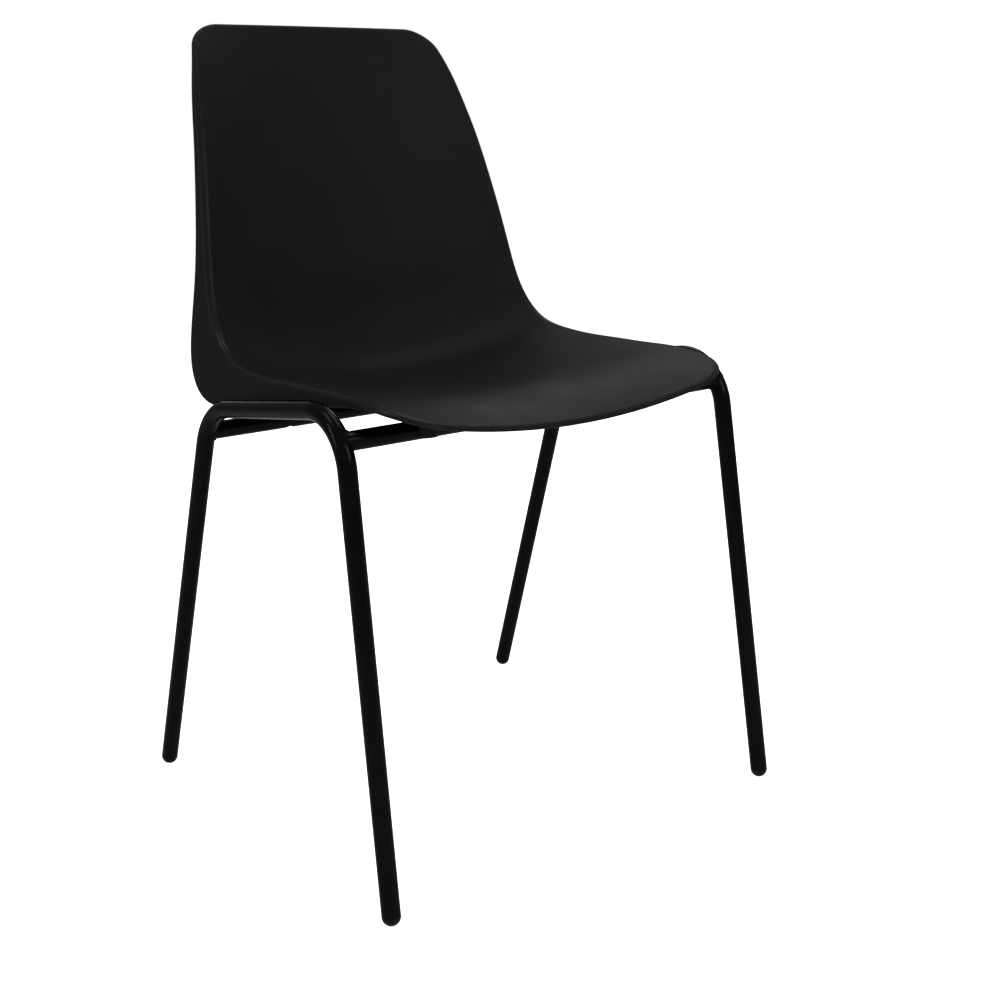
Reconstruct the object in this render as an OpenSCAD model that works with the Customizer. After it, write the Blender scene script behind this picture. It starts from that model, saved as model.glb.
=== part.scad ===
// Stacking choir chair: a one-piece moulded seat and back on a frame of bent steel tube.
// Millimetres. The floor is z = 0, the sitter faces -Y, and left is the sitter's left, +X.
// The origin is on the floor under the middle of the chair.

/* [Overall] */
// Height of the top of the back above the floor
overall_h = 745; // [700:1:800]
// Height of the seat's side edges above the floor
seat_edge_h = 430.5; // [400:0.5:470]
// Distance between the front feet, centre to centre
front_foot_w = 442.6; // [400:0.1:480]
// Distance between the rear feet, centre to centre
rear_foot_w = 443; // [400:0.1:480]
// Distance from the front feet to the rear feet, centre to centre
foot_d = 422.5; // [390:0.5:460]

/* [Tube frame] */
// Outside diameter of the tube with its coat
tube_d = 16.5; // [14:0.5:20]
// Wall thickness of the tube
tube_wall = 1.5; // [1:0.1:2]
// Distance below the seat's side edges of the corner where front leg and side rail would meet unbent
front_corner_drop = 6.1; // [3.5:0.1:11.5]
// Distance of that front corner in front of the chair's middle
front_corner_y = 156.5; // [150:0.1:162]
// Distance of that front corner from the chair's middle plane
front_corner_x = 211; // [207:0.1:215]
// Distance below the seat's side edges of the corner where rear leg and side rail would meet unbent
rear_corner_drop = 34.7; // [30.5:0.1:39.5]
// Distance of that rear corner behind the chair's middle
rear_corner_y = 71.3; // [66:0.1:78]
// Distance of that rear corner from the chair's middle plane
rear_corner_x = 214.4; // [210:0.1:218]
// Bend radius at the front corner, on the tube's centre line
front_bend_r = 50; // [44:1:54]
// Bend radius at the rear corner, on the tube's centre line
rear_bend_r = 60; // [54:1:64]
// Distance of the front cross rail below the unbent front corner
front_rail_drop = 26.5; // [24:0.5:29]
// Distance of the rear cross rail below the unbent rear corner
rear_rail_drop = 21.8; // [20:0.2:30]
// Thickness of a weld bead
weld_bead = 2.2; // [1.5:0.1:3]

/* [Seat shell] */
// Depth of the shell from the front lip to the top of the back
shell_depth = 418; // [400:1:440]
// Distance of the front lip in front of the chair's middle
lip_y = 207; // [200:0.5:214]
// Width of the seat over the crests of its side edges
shell_w = 376; // [370:1:380]
// Depth of the seat's dish below its side edges, at the deepest
dish_d = 34.6; // [24:0.1:37]
// Thickness of the moulding
shell_t = 4; // [3:0.1:4.4]
// Outer radius of the rolled edge
edge_roll_r = 7; // [6.5:0.1:9]
// Angle through which the edge rolls over
edge_roll_turn = 100; // [90:1:104]
// Depth of the skirt at the seat's rear corners
skirt_depth = 60; // [50:1:66]
// Least straight run at the end of the rolled edge
edge_land = 0.6; // [0.3:0.1:2]
// Corner radius of the front lip
lip_corner_r = 40; // [34:1:48]
// Corner radius at the top of the back
top_corner_r = 25; // [20:1:32]

/* [Fixings] */
// Distance of each fixing from the chair's middle plane
fixing_x = 131; // [115:0.5:140]
// Diameter of a fixing boss under the seat
boss_d = 26; // [23:0.5:30]
// Thickness of the web on each side of a boss
web_t = 3; // [2:0.1:4]
// How far a web runs out from its boss
web_run = 10; // [6:0.5:14]
// Slope of a web's free edge, as rise over run
web_slope = 1.2; // [0.8:0.1:2]
// Distance that a front boss's saddle reaches below the centre of its rail
front_saddle_drop = 6; // [3:0.1:7]
// Distance above the centre of its rail at which a rear boss's saddle ends
rear_saddle_rise = 1.5; // [0.5:0.1:4]
// Clearance between a saddle and its rail
saddle_gap = 0.1; // [0.05:0.01:0.3]
// Outside diameter of a screw's thread
screw_d = 4.8; // [4:0.1:5.2]
// Length of a screw below its head
screw_len = 11.5; // [10.5:0.1:12]
// Diameter of a screw's pan head
screw_head_d = 8.4; // [8:0.1:9]
// Height of a screw's pan head
screw_head_h = 3; // [2:0.1:3.6]
// Width of the cross recess in a screw's head
recess_w = 4.4; // [3.6:0.1:5]
// Depth of the cross recess
recess_h = 1.6; // [1:0.1:1.8]
// Diameter of a washer
washer_d = 9.4; // [9.2:0.1:9.8]
// Thickness of a washer
washer_t = 0.8; // [0.5:0.1:1]
// Diameter of the access hole under a rail
access_d = 10.6; // [10:0.1:11.4]

/* [Glides] */
// Depth of the flat worn on a glide's dome
glide_flat = 0.4; // [0.2:0.05:0.8]
// Length of the stem inside the tube
stem_len = 22; // [16:1:30]
// Clearance between the ribs of a stem and the tube's bore
stem_gap = 0.05; // [0.02:0.01:0.2]
// Height of a rib on the stem
stem_rib = 0.7; // [0.3:0.1:1.2]
// Number of ribs on a stem
stem_ribs = 4; // [2:1:6]

/* [Hidden] */

// One overrun serves all cuts
cut = 1;
// Clearance round a screw in the rail's upper wall, and between a coped rail end and the side frame
screw_gap = 0.4;
cope_gap = 0.05;
// Clearance between a thread and its pilot hole, and past the tip of the screw
thread_gap = 0.05;
tip_gap = 0.6;
round_fn = 64;
ball_fn = 64;
// Width of the mark that the bending tool leaves at each end of a bend, and how far it stands out
mark_w = 1;
mark_proud = 0.05;

// Sides and ends of the chair: left is +X, and the front is -Y
LEFT = 1;
RIGHT = -1;
FRONT = -1;
REAR = 1;

tube_r = tube_d / 2;
bore_r = tube_r - tube_wall;

front_corner_h = seat_edge_h - front_corner_drop;
rear_corner_h = seat_edge_h - rear_corner_drop;

// Points of one side frame's unbent line, from the front foot to the rear foot
foot_z = tube_r - glide_flat;
function front_foot(side) = [side * front_foot_w / 2, -foot_d / 2, foot_z];
function front_corner(side) = [side * front_corner_x, -front_corner_y, front_corner_h];
function rear_corner(side) = [side * rear_corner_x, rear_corner_y, rear_corner_h];
function rear_foot(side) = [side * rear_foot_w / 2, foot_d / 2, foot_z];
function foot(side, end) = end == FRONT ? front_foot(side) : rear_foot(side);
function corner(side, end) = end == FRONT ? front_corner(side) : rear_corner(side);
function frame_line(side) = [front_foot(side), front_corner(side), rear_corner(side), rear_foot(side)];

function unit(v) = v / norm(v);
function turn_between(a, b) = acos(unit(a) * unit(b));

// Point on a leg's line at height z, between its foot and its corner
function on_leg(side, end, z) = let(a = foot(side, end), b = corner(side, end))
    a + (b - a) * (z - a.z) / (b.z - a.z);

// Both cross rails meet the side frames at or near the bends
function bend_r(end) = end == FRONT ? front_bend_r : rear_bend_r;
function leg_length(end) = norm(corner(LEFT, end) - foot(LEFT, end));
function bend_turn(end) = turn_between(corner(LEFT, end) - foot(LEFT, end),
    corner(LEFT, -end) - corner(LEFT, end));
function bend_trim(end) = bend_r(end) * tan(bend_turn(end) / 2);
function lean(end) = asin((foot_d / 2 - end * corner(LEFT, end).y) / leg_length(end));
function bend_start_z(end) = corner(LEFT, end).z - bend_trim(end) * cos(lean(end));
// A bend's centre lies level with the start of the bend but for the leg's lean
function bend_centre_y(end) = on_leg(LEFT, end, bend_start_z(end)).y - end * bend_r(end) * cos(lean(end));
function bend_centre_z(end) = bend_start_z(end) - bend_r(end) * sin(lean(end));
function rail_z(end) = corner(LEFT, end).z - (end == FRONT ? front_rail_drop : rear_rail_drop);
function rail_y(end) = rail_z(end) < bend_start_z(end) ? on_leg(LEFT, end, rail_z(end)).y
    : bend_centre_y(end) + end * sqrt(bend_r(end) ^ 2 - (rail_z(end) - bend_centre_z(end)) ^ 2);
function rail_end_x(end) = on_leg(LEFT, end, rail_z(end)).x;

// Round bar from point a to point b
module bar(a, b, r) {
    v = b - a;
    translate(a)
        rotate([0, acos(v.z / norm(v)), atan2(v.y, v.x)])
            cylinder(h = norm(v), r = r, $fn = round_fn);
}

// Straight run of tube up the Z axis, with what follows at its end
module run(length, r) {
    cylinder(h = length, r = r, $fn = round_fn);
    translate([0, 0, length])
        children();
}

// Thin ring that the bending tool leaves round the tube, over the joint between run and bend
module bend_mark(r) {
    translate([0, 0, -mark_w / 2])
        cylinder(h = mark_w, r = r + mark_proud, $fn = round_fn);
}

// Bend of the tube from the Z axis towards X, with what follows at its end
module bend(turn, bend_r, r) {
    bend_mark(r);
    translate([bend_r, 0, 0])
        rotate([90, 0, 180])
            rotate_extrude(angle = turn, $fn = round_fn)
                translate([bend_r, 0])
                    circle(r = r, $fn = round_fn);
    translate([bend_r, 0, 0])
        rotate([0, turn, 0])
            translate([-bend_r, 0, 0]) {
                bend_mark(r);
                children();
            }
}

// Part of direction b that is square to direction a
function square_to(a, b) = unit(b - a * (a * b));

// Solid of radius r along a side frame's bent line, run on past the feet by over
module frame_solid(side, r, over = 0) {
    p = frame_line(side);
    leg_up = unit(p[1] - p[0]);
    back = unit(p[2] - p[1]);
    leg_down = unit(p[3] - p[2]);
    first_turn = turn_between(leg_up, back);
    second_turn = turn_between(back, leg_down);
    first_trim = front_bend_r * tan(first_turn / 2);
    second_trim = rear_bend_r * tan(second_turn / 2);
    inward = square_to(leg_up, back);
    across = cross(leg_up, inward);
    // The rear leg leaves the front leg's plane a little, so the tube is turned before its second bend
    second_inward = square_to(back, leg_down);
    twist = atan2(second_inward * across, second_inward * cross(across, back));
    multmatrix([[inward.x, across.x, leg_up.x, p[0].x],
                [inward.y, across.y, leg_up.y, p[0].y],
                [inward.z, across.z, leg_up.z, p[0].z],
                [0, 0, 0, 1]])
        translate([0, 0, -over])
            run(norm(p[1] - p[0]) - first_trim + over, r)
                bend(first_turn, front_bend_r, r)
                    run(norm(p[2] - p[1]) - first_trim - second_trim, r)
                        rotate([0, 0, twist])
                            bend(second_turn, rear_bend_r, r)
                                run(norm(p[3] - p[2]) - second_trim + over, r);
}

module side_frame(side) {
    color("#141416")
        difference() {
            frame_solid(side, tube_r);
            frame_solid(side, bore_r, cut);
        }
}

module left_side_frame() {
    side_frame(LEFT);
}

module right_side_frame() {
    side_frame(RIGHT);
}

// Solid along a cross rail from the side frames' centre lines
module rail_solid(end, r) {
    x = rail_end_x(end);
    bar([-x, rail_y(end), rail_z(end)], [x, rail_y(end), rail_z(end)], r);
}

// Tube across the chair, coped to the side frames and drilled for its two screws
module cross_rail(end) {
    color("#141416")
        difference() {
            rail_solid(end, tube_r);
            rail_solid(end, bore_r);
            frame_solid(LEFT, tube_r + cope_gap);
            frame_solid(RIGHT, tube_r + cope_gap);
            for (side = [LEFT, RIGHT])
                translate([side * fixing_x, rail_y(end), rail_z(end)]) {
                    cylinder(h = tube_d, d = screw_d + screw_gap, $fn = round_fn);
                    mirror([0, 0, 1])
                        cylinder(h = tube_d, d = access_d, $fn = round_fn);
                }
        }
}

module front_cross_rail() {
    cross_rail(FRONT);
}

module rear_cross_rail() {
    cross_rail(REAR);
}

// Bead in the saddle-shaped joint where a cross rail meets a side frame
module weld(side, end) {
    bead_r = tube_r + weld_bead;
    color("#18181a")
        difference() {
            intersection() {
                frame_solid(side, bead_r);
                bar([0, rail_y(end), rail_z(end)], [side * rail_end_x(end), rail_y(end), rail_z(end)],
                    bead_r);
            }
            frame_solid(side, tube_r);
            rail_solid(end, tube_r);
        }
}

module weld_front_left() {
    weld(LEFT, FRONT);
}

module weld_front_right() {
    weld(RIGHT, FRONT);
}

module weld_rear_left() {
    weld(LEFT, REAR);
}

module weld_rear_right() {
    weld(RIGHT, REAR);
}

// Domed glide in the end of a leg: a dome of the tube's radius, and a ribbed stem in the bore
module glide(side, end) {
    up = unit(corner(side, end) - foot(side, end));
    rib_h = stem_len / (2 * stem_ribs);
    color("#101011")
        difference() {
            union() {
                difference() {
                    translate(foot(side, end))
                        sphere(r = tube_r, $fn = ball_fn);
                    bar(foot(side, end), foot(side, end) + up * tube_d, tube_d);
                }
                bar(foot(side, end) - up * glide_flat, foot(side, end) + up * stem_len,
                    bore_r - stem_gap - stem_rib);
                for (i = [0 : stem_ribs - 1])
                    bar(foot(side, end) + up * rib_h * (2 * i + 0.5),
                        foot(side, end) + up * rib_h * (2 * i + 1.5), bore_r - stem_gap);
            }
            translate([foot(side, end).x, foot(side, end).y, -tube_d])
                cylinder(h = tube_d, r = tube_d, $fn = round_fn);
        }
}

module glide_front_left() {
    glide(LEFT, FRONT);
}

module glide_front_right() {
    glide(RIGHT, FRONT);
}

module glide_rear_left() {
    glide(LEFT, REAR);
}

module glide_rear_right() {
    glide(RIGHT, REAR);
}

// Height above a rail's centre at which a washer touches the round inside of the tube
washer_top = sqrt(bore_r ^ 2 - (washer_d / 2) ^ 2) - cope_gap;
head_top = washer_top - washer_t;

// Pan-head screw up through the rail's upper wall into its boss, with its head inside the tube
module screw(side, end) {
    color("#8b8d90")
        translate([side * fixing_x, rail_y(end), rail_z(end) + head_top])
            difference() {
                union() {
                    cylinder(h = screw_len, d = screw_d, $fn = round_fn);
                    mirror([0, 0, 1])
                        cylinder(h = screw_head_h, d = screw_head_d, $fn = round_fn);
                }
                for (a = [0, 90])
                    rotate([0, 0, a])
                        translate([-recess_w / 2, -recess_w / 8, -screw_head_h - cut])
                            cube([recess_w, recess_w / 4, recess_h + cut]);
            }
}

module screw_front_left() {
    screw(LEFT, FRONT);
}

module screw_front_right() {
    screw(RIGHT, FRONT);
}

module screw_rear_left() {
    screw(LEFT, REAR);
}

module screw_rear_right() {
    screw(RIGHT, REAR);
}

// Flat washer between a screw's head and the tube
module washer(side, end) {
    color("#a0a2a4")
        translate([side * fixing_x, rail_y(end), rail_z(end) + head_top])
            difference() {
                cylinder(h = washer_t, d = washer_d, $fn = round_fn);
                translate([0, 0, -cut])
                    cylinder(h = washer_t + 2 * cut, d = screw_d + screw_gap, $fn = round_fn);
            }
}

module washer_front_left() {
    washer(LEFT, FRONT);
}

module washer_front_right() {
    washer(RIGHT, FRONT);
}

module washer_rear_left() {
    washer(LEFT, REAR);
}

module washer_rear_right() {
    washer(RIGHT, REAR);
}

// The shell is a smooth sheet between an edge line and a centre line. Both run from the front lip
// to the top of the back. Each row is one station of both lines, and gives shares: how far back the
// edge line is, how high it is over the seat's edge, the same two for the centre line, the half
// width, and how deep the edge turns down. A height below the seat's edge is a share of the dish's.
station_shares = [
    [0.012, -0.036, 0.010, -0.107, 0.988, 0.040],
    [0.100, -0.011, 0.090, -0.065, 0.996, 0.085],
    [0.196,  0.004, 0.189, -0.044, 1.000, 0.215],
    [0.297,  0.000, 0.294, -0.052, 1.000, 0.285],
    [0.395,  0.002, 0.397, -0.066, 1.005, 0.350],
    [0.496, -0.001, 0.501, -0.082, 1.017, 0.400],
    [0.593,  0.007, 0.606, -0.096, 1.014, 0.460],
    [0.699,  0.028, 0.748, -0.110, 0.998, 1.055],
    [0.768,  0.132, 0.830,  0.035, 0.976, 0.560],
    [0.793,  0.263, 0.848,  0.219, 0.953, 0.328],
    [0.814,  0.391, 0.880,  0.359, 0.922, 0.245],
    [0.838,  0.519, 0.901,  0.497, 0.888, 0.215],
    [0.866,  0.646, 0.924,  0.626, 0.857, 0.160],
    [0.903,  0.768, 0.947,  0.758, 0.825, 0.095],
    [0.943,  0.889, 0.977,  0.878, 0.786, 0.020],
    [0.990,  0.988, 0.998,  0.988, 0.735, 0.012]];
stations = len(station_shares);
// How far the edge has turned where its width is measured
crest_turn = 50;
back_rise = overall_h - seat_edge_h;
// The sheet meets the rolled edge a little inside the crest
half_w = shell_w / 2 - edge_roll_r * sin(crest_turn);

// The stations in millimetres
deepest_share = -min([for (s = station_shares) s[3]]);
function height_at(share) = seat_edge_h + share * (share < 0 ? dish_d / deepest_share : back_rise);
station_rows = [for (s = station_shares) [shell_depth * s[0] - lip_y, height_at(s[1]),
    shell_depth * s[2] - lip_y, height_at(s[3]), half_w * s[4], skirt_depth * s[5]]];

// Value of one column at share u of the way, on a smooth spline that runs through both end rows
function row_value(i, c) = i < 0 ? 2 * station_rows[0][c] - station_rows[1][c]
    : i >= stations ? 2 * station_rows[stations - 1][c] - station_rows[stations - 2][c]
    : station_rows[i][c];
function column(c, u) = let(v = u * (stations - 1), i = min(floor(v), stations - 2), f = v - i)
    ((1 - f) ^ 3 * row_value(i - 1, c) + (3 * f ^ 3 - 6 * f ^ 2 + 4) * row_value(i, c)
    + (-3 * f ^ 3 + 3 * f ^ 2 + 3 * f + 1) * row_value(i + 1, c) + f ^ 3 * row_value(i + 2, c)) / 6;

function edge_y(u) = column(0, u);
function edge_z(u) = column(1, u);
function centre_y(u) = column(2, u);
function centre_z(u) = column(3, u);
function sheet_half_w(u) = column(4, u);
function turn_depth(u) = column(5, u);

// Point of the sheet at width x and share u: each cross section is a parabola
function sheet(x, u) = let(k = (x / sheet_half_w(u)) ^ 2)
    [x, centre_y(u) + (edge_y(u) - centre_y(u)) * k, centre_z(u) + (edge_z(u) - centre_z(u)) * k];
// Small steps in share and in width that give the sheet's directions
step_share = 0.002;
step_x = shell_t / 4;
function sheet_normal(x, u) = unit(cross(sheet(x + step_x, u) - sheet(x - step_x, u),
    sheet(x, min(u + step_share, 1)) - sheet(x, max(u - step_share, 0))));

// Length of the edge line, which turns the corner radii into shares
edge_steps = 40;
function edge_point(i) = [edge_y(i / edge_steps), edge_z(i / edge_steps)];
function edge_length(i = 0) = i == edge_steps ? 0
    : norm(edge_point(i + 1) - edge_point(i)) + edge_length(i + 1);
edge_run = edge_length();

// How far a corner of radius r draws the side in at distance d from the end
function drawn_in(r, d) = d >= r ? 0 : r - sqrt(r ^ 2 - (r - d) ^ 2);
function outline_x(u) = sheet_half_w(u) - drawn_in(lip_corner_r, u * edge_run)
    - drawn_in(top_corner_r, (1 - u) * edge_run);

// Rows of the sheet: close together round the corners, and at the bend between seat and back
corner_rows = 7;
side_rows = 32;
bend_focus = 0.4;
function side_share(t) = t + bend_focus * sin(360 * t) / (2 * PI);
lip_share = lip_corner_r / edge_run;
top_share = top_corner_r / edge_run;
rows = concat(
    [for (i = [0 : corner_rows - 1]) lip_share * (1 - cos(90 * i / corner_rows))],
    [for (i = [0 : side_rows]) lip_share + (1 - lip_share - top_share) * side_share(i / side_rows)],
    [for (i = [corner_rows - 1 : -1 : 0]) 1 - top_share * (1 - cos(90 * i / corner_rows))]);
row_count = len(rows);
// Cells across the sheet, in the rolled edge and in the straight end of the edge
cells = 22;
roll_rings = 5;
skirt_rings = 2;
rings = roll_rings + skirt_rings;

// Grid places round the outline, anticlockwise from the front right corner
outline = concat(
    [for (i = [0 : cells]) [0, i]],
    [for (j = [1 : row_count - 1]) [j, cells]],
    [for (i = [cells - 1 : -1 : 0]) [row_count - 1, i]],
    [for (j = [row_count - 2 : -1 : 1]) [j, 0]]);
outline_count = len(outline);
function grid_x(g) = outline_x(rows[g[0]]) * (2 * g[1] / cells - 1);
function grid_u(g) = rows[g[0]];
function grid_point(g) = sheet(grid_x(g), grid_u(g));
function grid_normal(g) = sheet_normal(grid_x(g), grid_u(g));
function outline_at(p) = outline[(p + outline_count) % outline_count];
function outline_tangent(p) = unit(grid_point(outline_at(p + 1)) - grid_point(outline_at(p - 1)));

// The rolled edge starts along the sheet, turns over, and ends in a straight run
roll_full = edge_roll_r * (1 - cos(edge_roll_turn));
function roll_angle(depth) = depth > roll_full ? edge_roll_turn : acos(1 - depth / edge_roll_r);
function land_length(depth) = edge_land + max(depth - roll_full, 0) / sin(edge_roll_turn);
function ring_angle(k, depth) = roll_angle(depth) * min(k / roll_rings, 1);
function ring_point(p, k) = let(g = outline_at(p), n = grid_normal(g), m = cross(outline_tangent(p), n),
        depth = turn_depth(grid_u(g)), a = ring_angle(k, depth),
        land = land_length(depth) * max(k - roll_rings, 0) / skirt_rings)
    grid_point(g) + m * (edge_roll_r * sin(a) + land * cos(a))
    - n * (edge_roll_r * (1 - cos(a)) + land * sin(a));
function ring_normal(p, k) = let(g = outline_at(p), n = grid_normal(g), m = cross(outline_tangent(p), n),
        a = ring_angle(k, turn_depth(grid_u(g))))
    n * cos(a) + m * sin(a);

// Points of one skin, sunk into the moulding by depth
function skin(depth) = concat(
    [for (j = [0 : row_count - 1]) for (i = [0 : cells])
        grid_point([j, i]) - grid_normal([j, i]) * depth],
    [for (k = [1 : rings]) for (p = [0 : outline_count - 1])
        ring_point(p, k) - ring_normal(p, k) * depth]);
grid_count = row_count * (cells + 1);
skin_count = grid_count + rings * outline_count;
function grid_index(g) = g[0] * (cells + 1) + g[1];
function ring_index(k, p) = k == 0 ? grid_index(outline_at(p))
    : grid_count + (k - 1) * outline_count + (p + outline_count) % outline_count;
function two_faces(a, b, c, d) = [[a, b, c], [a, c, d]];
function shifted(faces, by) = [for (f = faces) [f[2] + by, f[1] + by, f[0] + by]];
skin_faces = concat(
    [for (j = [0 : row_count - 2]) for (i = [0 : cells - 1])
        each two_faces(grid_index([j, i]), grid_index([j + 1, i]),
            grid_index([j + 1, i + 1]), grid_index([j, i + 1]))],
    [for (k = [0 : rings - 1]) for (p = [0 : outline_count - 1])
        each two_faces(ring_index(k, p), ring_index(k, p + 1),
            ring_index(k + 1, p + 1), ring_index(k + 1, p))]);
rim_faces = [for (p = [0 : outline_count - 1])
    each two_faces(ring_index(rings, p), ring_index(rings, p + 1),
        ring_index(rings, p + 1) + skin_count, ring_index(rings, p) + skin_count)];

// The moulding without its bosses
module shell_skin() {
    polyhedron(points = concat(skin(0), skin(shell_t)),
        faces = concat(skin_faces, shifted(skin_faces, skin_count), rim_faces));
}

// Share of the way at which the sheet stands over depth y, at width x
function share_over(x, y, lo = 0, hi = 0.6, n = 24) = n == 0 ? (lo + hi) / 2
    : sheet(x, (lo + hi) / 2).y < y ? share_over(x, y, (lo + hi) / 2, hi, n - 1)
    : share_over(x, y, lo, (lo + hi) / 2, n - 1);

// Space under the middle of the moulding round a fixing and its webs, down to height floor_z
patch_cells = 6;
module space_under(side, end, floor_z) {
    x0 = side * fixing_x;
    y0 = rail_y(end);
    half_x = boss_d / 2 + web_run + cut;
    half_y = boss_d / 2 + cut;
    n = patch_cells + 1;
    top = [for (j = [0 : patch_cells]) for (i = [0 : patch_cells])
        let(x = x0 + half_x * (2 * i / patch_cells - 1), y = y0 + half_y * (2 * j / patch_cells - 1),
            u = share_over(x, y), s = sheet(x, u) - sheet_normal(x, u) * shell_t / 2)
        [x, y, s.z]];
    bottom = [for (t = top) [t.x, t.y, floor_z]];
    upper = [for (j = [0 : patch_cells - 1]) for (i = [0 : patch_cells - 1])
        each two_faces(j * n + i, (j + 1) * n + i, (j + 1) * n + i + 1, j * n + i + 1)];
    around = concat([for (i = [0 : patch_cells]) i], [for (j = [1 : patch_cells]) j * n + patch_cells],
        [for (i = [patch_cells - 1 : -1 : 0]) patch_cells * n + i],
        [for (j = [patch_cells - 1 : -1 : 1]) j * n]);
    walls = [for (i = [0 : len(around) - 1]) let(a = around[i], b = around[(i + 1) % len(around)])
        each two_faces(a, b, b + n * n, a + n * n)];
    polyhedron(points = concat(top, bottom), faces = concat(upper, shifted(upper, n * n), walls));
}

// Web along the rail through a boss, with free edges that slope out to the moulding on both sides
module web(side, end) {
    low = tube_r;
    high = tube_r + web_run * web_slope;
    inner = boss_d / 2;
    outer = inner + web_run;
    translate([side * fixing_x, rail_y(end) + web_t / 2, rail_z(end)])
        rotate([90, 0, 0])
            linear_extrude(height = web_t)
                polygon([[-inner, low], [inner, low], [outer, high], [outer, back_rise],
                    [-outer, back_rise], [-outer, high]]);
}

// Round boss and its web under the seat, from inside the moulding down over its rail
module boss(side, end) {
    foot_of_boss = rail_z(end) + (end == FRONT ? -front_saddle_drop : rear_saddle_rise);
    intersection() {
        union() {
            translate([side * fixing_x, rail_y(end), foot_of_boss])
                cylinder(h = back_rise, d = boss_d, $fn = round_fn);
            web(side, end);
        }
        space_under(side, end, foot_of_boss - cut);
    }
}

// Channel for the rail and pilot hole for the screw
module boss_cuts(side, end) {
    saddle_r = tube_r + saddle_gap;
    translate([side * fixing_x - boss_d, rail_y(end), rail_z(end)]) {
        rotate([0, 90, 0])
            cylinder(h = 2 * boss_d, r = saddle_r, $fn = round_fn);
        translate([0, -saddle_r, -tube_d])
            cube([2 * boss_d, 2 * saddle_r, tube_d]);
    }
    translate([side * fixing_x, rail_y(end), rail_z(end)])
        cylinder(h = head_top + screw_len + tip_gap, d = screw_d + 2 * thread_gap, $fn = round_fn);
}

module seat_shell() {
    color("#1b1b1d")
        difference() {
            union() {
                shell_skin();
                for (side = [LEFT, RIGHT])
                    for (end = [FRONT, REAR])
                        boss(side, end);
            }
            for (side = [LEFT, RIGHT])
                for (end = [FRONT, REAR])
                    boss_cuts(side, end);
        }
}

seat_shell();
left_side_frame();
right_side_frame();
front_cross_rail();
rear_cross_rail();
weld_front_left();
weld_front_right();
weld_rear_left();
weld_rear_right();
glide_front_left();
glide_front_right();
glide_rear_left();
glide_rear_right();
screw_front_left();
screw_front_right();
screw_rear_left();
screw_rear_right();
washer_front_left();
washer_front_right();
washer_rear_left();
washer_rear_right();
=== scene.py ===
"""Stacking choir chair: a black moulded seat shell on a black tube frame, in a white studio.

Metres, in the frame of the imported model: the floor is z = 0, the sitter faces -Y, and the sitter's
left is +X. Sizes are written in millimetres and turned to metres where a mesh is made.
"""

import math

import bmesh
import bpy
import numpy as np
from mathutils import Matrix, Vector


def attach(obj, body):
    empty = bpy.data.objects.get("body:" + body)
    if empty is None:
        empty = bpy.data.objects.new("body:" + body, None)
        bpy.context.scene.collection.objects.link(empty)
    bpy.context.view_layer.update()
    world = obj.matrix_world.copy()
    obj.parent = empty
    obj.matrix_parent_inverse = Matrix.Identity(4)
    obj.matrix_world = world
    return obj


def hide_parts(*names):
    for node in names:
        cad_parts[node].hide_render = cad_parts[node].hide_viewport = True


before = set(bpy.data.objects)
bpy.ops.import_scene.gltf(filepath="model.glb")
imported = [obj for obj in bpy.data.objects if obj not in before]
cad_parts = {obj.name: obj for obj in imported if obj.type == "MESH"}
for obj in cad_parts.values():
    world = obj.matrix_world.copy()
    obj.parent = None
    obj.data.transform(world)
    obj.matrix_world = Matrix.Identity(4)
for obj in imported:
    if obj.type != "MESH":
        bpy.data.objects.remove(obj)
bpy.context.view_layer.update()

MM = 0.001
LEFT, RIGHT = 1, -1
FRONT, REAR = -1, 1

# ---------------------------------------------------------------- sizes of the chair, millimetres

OVERALL_H, SEAT_EDGE_H = 745.0, 430.5
FRONT_FOOT_W, REAR_FOOT_W, FOOT_D = 442.6, 443.0, 422.5
TUBE_R, TUBE_WALL = 8.25, 1.5
# Corners where the legs and the side rail would meet unbent, and the rails' distances below them
FRONT_CORNER = (211.0, -156.5, 424.4)
REAR_CORNER = (214.4, 71.3, 395.8)
FRONT_BEND_R, REAR_BEND_R = 50.0, 60.0
FRONT_RAIL_DROP, REAR_RAIL_DROP = 26.5, 21.8
BEND_STEPS, TUBE_STEPS = 48, 64

# Bead of a weld, how deep its middle is sunk, and the part of a rail in which its joint is sought
BEAD_R, RIPPLE_PITCH, BEAD_SINK = 1.5, 1.3, 0.2
JOINT_NEAR, JOINT_FAR = 180.0, 214.0

# Shell from lip to top, lip in front of the chair's middle, width over the crests, and thickness
SHELL_DEPTH, LIP_Y, SHELL_W, SHELL_T = 418.0, 207.0, 376.0, 4.0
# Roll of the edge and its whole turn, skirt at the rear corners, and least straight run after it
EDGE_ROLL_R, EDGE_ROLL_TURN, SKIRT_DEPTH, EDGE_LAND = 7.0, math.radians(100), 60.0, 0.6
LIP_CORNER_R, TOP_CORNER_R = 40.0, 25.0
# How far the edge has turned where the shell's width is measured, and the radius of its rim
CREST_TURN, RIM_R = math.radians(50), 0.55

FIXING_X, BOSS_D, SADDLE_GAP = 131.0, 26.0, 0.1
FRONT_SADDLE_DROP, REAR_SADDLE_RISE = 6.0, 1.5
WEB_T, WEB_RUN, WEB_SLOPE = 3.0, 10.0, 1.2
BOSS_CHAMFER, WEB_OVERLAP, WEB_LEAST_H = 0.6, 4.0, 2.5
# Fillets into the shell: how far out each line stands, and how far it lies below the underside
BOSS_FILLET = ((3.0, -1.0), (2.2, 0.3), (1.2, 1.0), (0.5, 1.9), (0.1, 3.0), (0.0, 4.2))
WEB_FILLET = ((1.2, -1.0), (0.3, 0.9), (0.0, 2.4))

GLIDE_FLAT, STEM_H, STEM_PLAY = 0.4, 12.0, 0.1
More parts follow.
